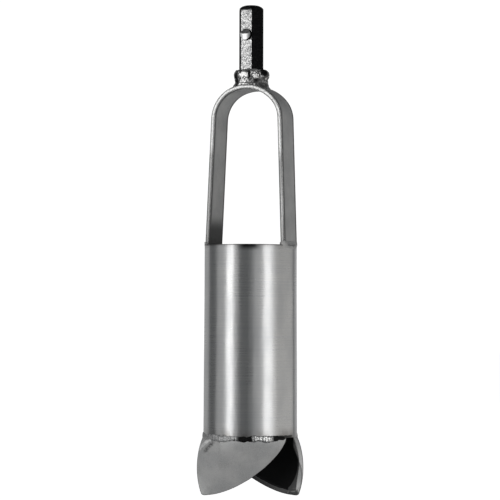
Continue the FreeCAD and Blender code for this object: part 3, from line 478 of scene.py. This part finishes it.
def mesh_object(name, verts, faces, mat, smooth=True):
    me = bpy.data.meshes.new(name)
    me.from_pydata([tuple(v) for v in verts], [], faces)
    bm = bmesh.new()
    bm.from_mesh(me)
    bmesh.ops.recalc_face_normals(bm, faces=bm.faces)
    bm.to_mesh(me)
    bm.free()
    me.materials.append(mat)
    for p in me.polygons:
        p.use_smooth = smooth
    ob = bpy.data.objects.new(name, me)
    scene.collection.objects.link(ob)
    return ob


def smoothstep(a, b, x):
    t = max(0.0, min(1.0, (x - a) / (b - a)))
    return t * t * (3 - 2 * t)


def fbm(p, freq, seed, octaves=3):
    q = Vector(p) * freq + Vector((seed * 7.31, seed * 3.7, -seed * 5.1))
    return noise.fractal(q, 0.6, 2.1, octaves)


def polar(bearing, r, z):
    a = math.radians(bearing)
    return Vector((r * math.sin(a), -r * math.cos(a), z))


def bead(name, path, outs, width, height, mat, seed=0.0, ripple=2.0 * MM, lump=0.25, body="root",
         replaces=None, around=20, taper=2.5 * MM):
    """A weld bead: an oval rope laid along path, with overlapping ripples and lumps."""
    pts = [Vector(p) for p in path]
    # lengths along the path
    s = [0.0]
    for a, b in zip(pts, pts[1:]):
        s.append(s[-1] + (b - a).length)
    total = s[-1]
    steps = max(24, int(total / (0.35 * MM)))
    verts, faces = [], []
    j = 0
    for i in range(steps + 1):
        d = total * i / steps
        while j < len(s) - 2 and s[j + 1] < d:
            j += 1
        f = (d - s[j]) / max(1e-9, s[j + 1] - s[j])
        p = pts[j].lerp(pts[j + 1], f)
        o = Vector(outs[j]).lerp(Vector(outs[j + 1]), f).normalized()
        t = (pts[j + 1] - pts[j]).normalized()
        side = t.cross(o).normalized()
        end = min(smoothstep(0, taper, d), smoothstep(0, taper, total - d))
        end = max(0.08, end ** 0.5)
        cell = (d / ripple + 0.5 * fbm(p, 300, seed + 2)) % 1.0
        wave = 1 - 0.16 * (1 - math.sqrt(max(0.0, 1 - (cell - 0.35) ** 2 * 2.3))) * 3.0
        w = width(d / total) if callable(width) else width
        h_ = height(d / total) if callable(height) else height
        wob = 1 + lump * fbm(p, 260, seed)
        for k in range(around):
            a = 2 * math.pi * k / around
            lag = 0.55 * MM * math.cos(a) ** 2
            q = p - t * lag + side * (w * end * wob * math.cos(a)) + o * (h_ * end * wave * wob * math.sin(a))
            q += o * (0.12 * MM * fbm(q, 900, seed + 5)) * max(0.0, math.sin(a))
            verts.append(q)
    for i in range(steps):
        for k in range(around):
            a, b = i * around + k, i * around + (k + 1) % around
            faces.append((a, b, b + around, a + around))
    faces.append(tuple(range(around))[::-1])
    faces.append(tuple(range(steps * around, (steps + 1) * around)))
    ob = mesh_object(name, verts, faces, mat)
    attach(ob, body)
    if replaces:
        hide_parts(replaces)
    return ob


# ------------------------------------------------------------- weld collar
def strap_top(x):
    """Height of the strap's outer surface over its crown, in metres."""
    r = 33.0 * MM
    return -62.0 * MM - r + math.sqrt(max(0.0, r * r - x * x))


def collar():
    around, rows = 300, 60
    verts, faces = [], []
    for i in range(rows + 1):
        t = i / rows
        for k in range(around):
            a = 2 * math.pi * k / around
            c, s_ = math.cos(a), math.sin(a)
            # superelliptic footprint on the strap: longer along it than across it
            fx, fy = 17.0 * MM, 12.9 * MM
            foot = 1.0 / ((abs(c) / fx) ** 2.4 + (abs(s_) / fy) ** 2.4) ** (1 / 2.4)
            lobe = 1 + 0.02 * math.sin(3 * a + 0.6) + 0.015 * math.sin(5 * a + 2.0)
            ring = 13.25 * MM * lobe
            if abs(s_) > 0.5:
                ring = min(ring, 12.9 * MM / abs(s_) if abs(s_) > 0.96 else ring)
            zt, zb = -49.9 * MM, strap_top(foot * c) - 0.5 * MM
            # profile, top to foot: crown of the upper pass, waist, lower pass, fillet
            prof = [(0.0, 8.4, 0.0), (0.07, 10.0, 0.05), (0.15, 11.6, 0.4), (0.26, 12.95, 1.9), (0.42, 13.75, 4.4),
                    (0.52, 13.6, 6.1), (0.60, 13.0, 7.4), (0.70, 12.85, 9.0), (0.80, 12.75, 10.6), (0.9, 13.4, 11.9),
                    (1.0, 0, 0)]
            for (t0, r0, d0), (t1, r1, d1) in zip(prof, prof[1:]):
                if t <= t1 or t1 == 1.0:
                    f = (t - t0) / (t1 - t0)
                    f = max(0.0, min(1.0, f))
                    break
            r0m, z0m = r0 * MM * ring / (13.25 * MM), zt - d0 * MM
            if t1 == 1.0:
                r1m, z1m = foot, zb
                g = f
                r = r0m + (r1m - r0m) * g ** 1.4
                z = z0m + (z1m - z0m) * g ** 0.8
            else:
                r1m, z1m = r1 * MM * ring / (13.25 * MM), zt - d1 * MM
                r = r0m + (r1m - r0m) * f
                z = z0m + (z1m - z0m) * f
            z = max(z, strap_top(r * c) - 0.6 * MM)
            p = Vector((r * c, r * s_, z))
            n = Vector((c, s_, 0.6 if t < 0.2 else 0.0)).normalized()
            # slanting overlapping scales of each pass, then lumps
            cell = (a * 13.5 / 2.9 + 2.2 * t + 0.6 * fbm(p, 220, 3)) % 1.0
            scale = 0.30 * MM * (math.sqrt(max(0.0, 1 - (cell - 0.4) ** 2 * 2.2)) - 0.8)
            live = smoothstep(0.0, 0.12, t) * (1 - smoothstep(0.93, 1.0, t))
            p += n * (scale + 0.75 * MM * fbm(p, 150, 11) + 0.28 * MM * fbm(p, 520, 4)) * live
            if abs(p.y) > 13.1 * MM:
                p.y = math.copysign(13.1 * MM, p.y)
            verts.append(p)
    for i in range(rows):
        for k in range(around):
            a, b = i * around + k, i * around + (k + 1) % around
            faces.append((a, b, b + around, a + around))
    faces.append(tuple(range(around)))
    faces.append(tuple(range(rows * around, (rows + 1) * around))[::-1])
    ob = mesh_object("shank_weld_collar", verts, faces, M_COLLAR)
    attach(ob, "root")
    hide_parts("shank_weld")
    return ob


collar()

# -------------------------------------------------- welds at the strap's feet


def foot_weld(name, turn, node, seed):
    """A thick fillet outside the rim: strap face above, barrel below."""
    cols, rows = 90, 26
    verts, faces = [], []
    for j in range(cols + 1):
        b = -24.0 + 48.0 * j / cols
        e = 1 - smoothstep(17, 24, abs(b))
        for i in range(rows + 1):
            t = i / rows
            a = math.radians(b)
            strap_r = 33.9 * MM / math.cos(a)
            top_z = -183.1 * MM + 0.5 * MM * fbm((b * 0.001, 0, 0), 300, seed)
            low_z = -186.8 * MM - (2.6 * MM) * math.cos(math.radians(b * 3.0)) ** 1.0 * e + 0.35 * MM * fbm((b * 0.001, 1, 0), 420, seed + 1)
            z = top_z * (1 - t) + low_z * t
            r_top = min(strap_r + 0.1 * MM, 35.75 * MM)
            r_low = 35.45 * MM
            r = r_top + (r_low - r_top) * smoothstep(0.05, 0.85, t)
            r += (0.38 * MM * math.sin(math.pi * min(1.0, t * 1.05)) ** 0.8) * max(0.05, e)
            p = polar(90 + b, r, z)
            n = polar(90 + b, 1, 0)
            cell = (b / 4.6 + 0.35 * t + 0.5 * fbm(p, 250, seed + 4)) % 1.0
            p += n * (0.16 * MM * (math.sqrt(max(0.0, 1 - (cell - 0.4) ** 2 * 2.2)) - 0.8)
                      + 0.3 * MM * fbm(p, 380, seed + 2) + 0.1 * MM * fbm(p, 1200, seed + 3)) * math.sin(math.pi * t) * max(0.2, e)
            verts.append(p)
    w = rows + 1
    for j in range(cols):
        for i in range(rows):
            a = j * w + i
            faces.append((a, a + 1, a + 1 + w, a + w))
    # close it with a back that lies inside the metal
    base = len(verts)
    for j in range(cols + 1):
        b = -24.0 + 48.0 * j / cols
        verts.append(polar(90 + b, 33.6 * MM, -184.4 * MM))
        verts.append(polar(90 + b, 33.9 * MM, -187.0 * MM))
    for j in range(cols):
        a, c = base + 2 * j, base + 2 * j + 2
        faces.append((a, c, c + 1, a + 1))
        faces.append((j * w, (j + 1) * w, c, a))
        faces.append((j * w + rows, a + 1, c + 1, (j + 1) * w + rows))
    faces.append(tuple([i for i in range(w)][::-1] + [base, base + 1]))
    faces.append(tuple([cols * w + i for i in range(w)] + [base + 2 * cols + 1, base + 2 * cols]))
    ob = mesh_object(name, verts, faces, M_FOOT)
    if turn:
        ob.data.transform(Matrix.Rotation(math.radians(turn), 4, "Z"))
    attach(ob, "root")
    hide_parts(node)
    return ob


foot_weld("foot_weld_right", 0, "bail_weld_right", 3.0)
foot_weld("foot_weld_left", 180, "bail_weld_left", 8.0)

# ------------------------------------------- welds between barrel and cutters
for side, turn, seed in (("front", 0, 1.0), ("rear", 180, 6.0)):
    path, outs = [], []
    for i in range(149):
        b = -63.0 + 136.5 * i / 148
        r = 36.05 * MM
        path.append(polar(b + turn, r, -332.7 * MM + 0.3 * MM * math.sin(b * 0.21 + seed)))
        outs.append(polar(b + turn, 1, 0))
    w = lambda f: (2.7 - 0.8 * smoothstep(0.35, 0.5, f) + 0.5 * smoothstep(0.63, 0.68, f) * (1 - smoothstep(0.82, 0.87, f))
                   - 0.5 * smoothstep(0.86, 0.94, f)) * MM
    h_ = lambda f: (0.85 - 0.2 * smoothstep(0.35, 0.5, f) + 0.3 * smoothstep(0.64, 0.70, f) * (1 - smoothstep(0.80, 0.86, f))) * MM
    ob = bead("seam_weld_" + side, path, outs, w, h_, M_SEAMW[side], seed=seed, ripple=2.3 * MM, lump=0.32,
              replaces="cutter_weld_" + side)

    # the corner bead lies on the cutter's outside
    plate = nodes["cutter_" + side]
    tree = BVHTree.FromPolygons([plate.matrix_world @ v.co for v in plate.data.vertices],
                                [tuple(p.vertices) for p in plate.data.polygons])
    path, outs = [], []
    for b, z in ((-29.6, -334.0), (-35.5, -335.0), (-41.0, -336.4), (-46.5, -337.9), (-51.0, -339.5), (-55.0, -341.2), (-58.0, -342.9)):
        out = polar(b + turn, 1, 0)
        hit = tree.ray_cast(out * (60 * MM) + Vector((0, 0, z * MM)), -out)
        at = hit[0] if hit[0] is not None else out * (36.5 * MM) + Vector((0, 0, z * MM))
        nn = hit[1] if hit[0] is not None else out
        path.append(at)
        outs.append(nn if nn.dot(out) > 0 else -nn)
    ob = bead("corner_weld_bead_" + side, path, outs, 1.35 * MM, 1.0 * MM, M_CORNER, seed=seed + 9, ripple=2.2 * MM,
              lump=0.35, replaces="corner_weld_" + side)

# --------------------------------------------------------------- edge easing
for n, w, seg in (("barrel_tube", 0.25, 2), ("cutter_front", 0.3, 2), ("cutter_rear", 0.3, 2), ("hex_shank", 0.25, 2)):
    m = nodes[n].modifiers.new("ease", "BEVEL")
    m.width = w * MM
    m.segments = seg
    m.limit_method = "ANGLE"
    m.angle_limit = math.radians(40)
    m.harden_normals = False

# --------------------------------------------------------------- the studio
FLOOR_Z = -0.3787


def stage_mat(name, emit, diffuse):
    k = Mat(name)
    k.set(color=(diffuse, diffuse, diffuse), rough=0.9, spec=0.0)
    k.p.inputs["Emission Color"].default_value = (1, 1, 1, 1)
    k.p.inputs["Emission Strength"].default_value = emit
    return k.m


bm = bmesh.new()
bmesh.ops.create_circle(bm, cap_ends=True, segments=96, radius=7.0)
me = bpy.data.meshes.new("floor")
bm.to_mesh(me)
bm.free()
floor = bpy.data.objects.new("floor", me)
floor.location = (0, 0, FLOOR_Z)
me.materials.append(stage_mat("floor_pale", 0.95, 0.5))
scene.collection.objects.link(floor)
floor.visible_glossy = False

bm = bmesh.new()
bmesh.ops.create_uvsphere(bm, u_segments=64, v_segments=32, radius=7.2)
me = bpy.data.meshes.new("backdrop")
bm.to_mesh(me)
bm.free()
dome = bpy.data.objects.new("backdrop", me)
me.materials.append(stage_mat("backdrop_pale", 1.05, 0.0))
scene.collection.objects.link(dome)
dome.visible_glossy = False
dome.visible_diffuse = False
dome.visible_shadow = False

world = bpy.data.worlds.new("studio")
scene.world = world
world.use_nodes = True
bg = world.node_tree.nodes["Background"]
bg.inputs[0].default_value = (0.95, 0.98, 1.0, 1)
bg.inputs[1].default_value = 0.13

VIEW_AZ = 25.0      # the camera stands at this azimuth


def softbox(name, az, dist, z, w, h_, watts, tint=(1, 1, 1), spread=180):
    """A rectangular light at az degrees from the camera's side, aimed at the barrel."""
    data = bpy.data.lights.new(name, "AREA")
    data.shape = "RECTANGLE"
    data.size, data.size_y = w, h_
    data.energy = watts
    data.color = tint
    data.spread = math.radians(spread)
    ob = bpy.data.objects.new(name, data)
    a = math.radians(VIEW_AZ + az)
    ob.location = (dist * math.sin(a), -dist * math.cos(a), z)
    aim = Vector((0, 0, z)) - ob.location
    ob.rotation_euler = aim.to_track_quat("-Z", "Y").to_euler()
    ob.visible_camera = False
    scene.collection.objects.link(ob)
    return ob


def watts(radiance, w, h_):
    return radiance * math.pi * w * h_


softbox("left_box", -52, 1.6, 0.0, 0.50, 2.2, watts(1.5, 0.50, 2.2))
softbox("right_box", 43, 1.6, -0.1, 0.62, 2.0, watts(1.1, 0.62, 2.0))
softbox("right_wing", 35, 1.75, -0.1, 1.95, 2.0, watts(0.36, 1.95, 2.0))
softbox("left_wing", -62, 1.75, 0.0, 2.05, 2.2, watts(0.33, 2.05, 2.2))
softbox("right_fill", 92, 1.7, -0.75, 2.6, 1.5, watts(0.46, 2.6, 1.5), (1.0, 0.98, 0.95))
softbox("right_rim", 154, 1.7, -0.4, 0.8, 1.9, watts(0.36, 0.8, 1.9))
softbox("left_fill", -150, 1.7, -0.5, 1.6, 1.9, watts(0.3, 1.6, 1.9))

scene.view_settings.view_transform = "Standard"
scene.view_settings.look = "None"
scene.view_settings.exposure = 0.0
scene.view_settings.gamma = 1.0

cam_data = bpy.data.cameras.new("camera")
cam_data.sensor_width = 36.0
cam_data.lens = 1957 / 500 * 36.0
cam_data.clip_start, cam_data.clip_end = 0.05, 40
cam = bpy.data.objects.new("camera", cam_data)
a = math.radians(VIEW_AZ)
DIST, CAM_Z = 1.510, -0.2425
cam.location = (DIST * math.sin(a), -DIST * math.cos(a), CAM_Z)
pitch = math.radians(2.02)
yaw = math.atan(0.7 / 1957)          # the object's axis stands a little right of the middle
fwd = Vector((-math.sin(a + yaw), math.cos(a + yaw), 0)) * math.cos(pitch) + Vector((0, 0, math.sin(pitch)))
turn = fwd.to_track_quat("-Z", "Y") @ Quaternion((0, 0, 1), math.radians(0.16))   # leans a hair to the right
cam.rotation_euler = turn.to_euler()
scene.collection.objects.link(cam)
scene.camera = cam
